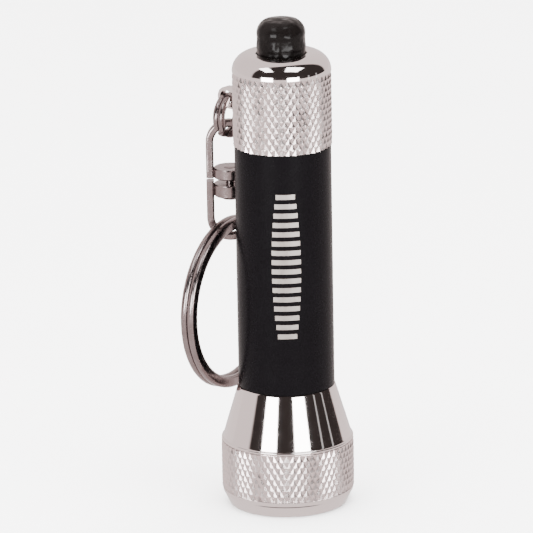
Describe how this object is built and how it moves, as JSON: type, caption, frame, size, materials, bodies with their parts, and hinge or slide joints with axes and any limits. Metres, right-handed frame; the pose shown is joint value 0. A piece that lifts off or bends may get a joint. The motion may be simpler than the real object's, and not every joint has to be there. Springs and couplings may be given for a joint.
{
  "type": "keychain flashlight",
  "caption": "Small aluminium flashlight with a knurled head and tail cap, black barrel, tail push button and a swivel key ring.",
  "frame": {"origin": "centre of the head's front opening, on the plane of its rim, which is what it stands on", "axes": "+Z along the barrel from the head to the tail button; the key chain hangs on the -X side"},
  "size_m": [0.0229, 0.0248, 0.0714],
  "materials": {
    "polished_aluminium": "bright turned",
    "knurled_aluminium": "bright, diamond knurled and polished",
    "black_anodised": "satin black anodised",
    "gloss_rubber": "glossy moulded",
    "seal_rubber": "matt",
    "clear_lens": "clear",
    "reflector_chrome": "vacuum plated",
    "led_epoxy": "clear epoxy",
    "board_laminate": "green laminate",
    "black_plastic": "moulded",
    "contact_brass": "bright",
    "spring_steel": "bright wire",
    "clear_film": "clear shrink film",
    "cell_steel": "bright",
    "nickel_wire": "dark nickel plate"
  },
  "bodies": {
    "head": {"head_shell": "knurled_aluminium", "bezel_ring": "polished_aluminium", "lens_seal": "seal_rubber", "lens": "clear_lens", "reflector": "reflector_chrome", "led_1": "led_epoxy", "led_2": "led_epoxy", "led_3": "led_epoxy", "led_4": "led_epoxy", "led_5": "led_epoxy", "led_board": "board_laminate", "contact_holder": "black_plastic", "front_contact_spring": "contact_brass"},
    "head_thread": {"head_seal": "seal_rubber"},
    "barrel": {"barrel": "black_anodised", "battery_sleeve": "clear_film", "cell_1": "cell_steel", "cell_2": "cell_steel", "cell_3": "cell_steel", "cell_4": "cell_steel"},
    "tail_thread": {"tail_seal": "seal_rubber"},
    "tail_cap": {"tail_cap": "knurled_aluminium", "switch_ring": "contact_brass", "switch_body": "black_plastic", "tail_contact_spring": "contact_brass", "switch_spring": "spring_steel"},
    "button": {"button_boot": "gloss_rubber", "switch_plunger": "contact_brass"},
    "small_ring": {"small_split_ring": "nickel_wire"},
    "upper_link": {"upper_swivel_link": "nickel_wire", "swivel_rivet": "nickel_wire"},
    "lower_link": {"lower_swivel_link": "nickel_wire"},
    "key_ring": {"key_ring": "nickel_wire"}
  },
  "joints": [
    {"name": "barrel_lift", "type": "slide", "parent": "head", "child": "head_thread", "axis": [0, 0, 1], "range_m": [0, 0.00375]},
    {"name": "barrel_turn", "type": "hinge", "parent": "head_thread", "child": "barrel", "pos_m": [0, 0, 0.014], "axis": [0, 0, 1], "range_deg": [0, 1800]},
    {"name": "cap_lift", "type": "slide", "parent": "barrel", "child": "tail_thread", "axis": [0, 0, 1], "range_m": [0, 0.00375]},
    {"name": "cap_turn", "type": "hinge", "parent": "tail_thread", "child": "tail_cap", "pos_m": [0, 0, 0.055], "axis": [0, 0, 1], "range_deg": [0, 1800]},
    {"name": "button_press", "type": "slide", "parent": "tail_cap", "child": "button", "axis": [0, 0, -1], "range_m": [0, 0.001], "stiffness_N_per_m": 1200, "springref_m": -0.001, "deforming": ["switch_spring"]},
    {"name": "small_ring_swing", "type": "hinge", "parent": "tail_cap", "child": "small_ring", "pos_m": [-0.0102, 0, 0.0582], "axis": [-0.1736, 0.9848, 0], "range_deg": [0, 150]},
    {"name": "upper_link_swing", "type": "hinge", "parent": "small_ring", "child": "upper_link", "pos_m": [-0.0102, 0, 0.0528], "axis": [-0.1736, 0.9848, 0], "range_deg": [0, 35]},
    {"name": "swivel_turn", "type": "hinge", "parent": "upper_link", "child": "lower_link", "pos_m": [-0.0102, 0, 0.0456], "axis": [0, 0, 1], "range_deg": [-20, 26]},
    {"name": "key_ring_swing", "type": "hinge", "parent": "lower_link", "child": "key_ring", "pos_m": [-0.0102, 0, 0.03945], "axis": [-0.1736, 0.9848, 0], "range_deg": [0, 60]}
  ],
  "couplings": [
    {"joint": "barrel_turn", "follows": "barrel_lift", "rad_per_m": 8377.6},
    {"joint": "cap_turn", "follows": "cap_lift", "rad_per_m": 8377.6}
  ]
}
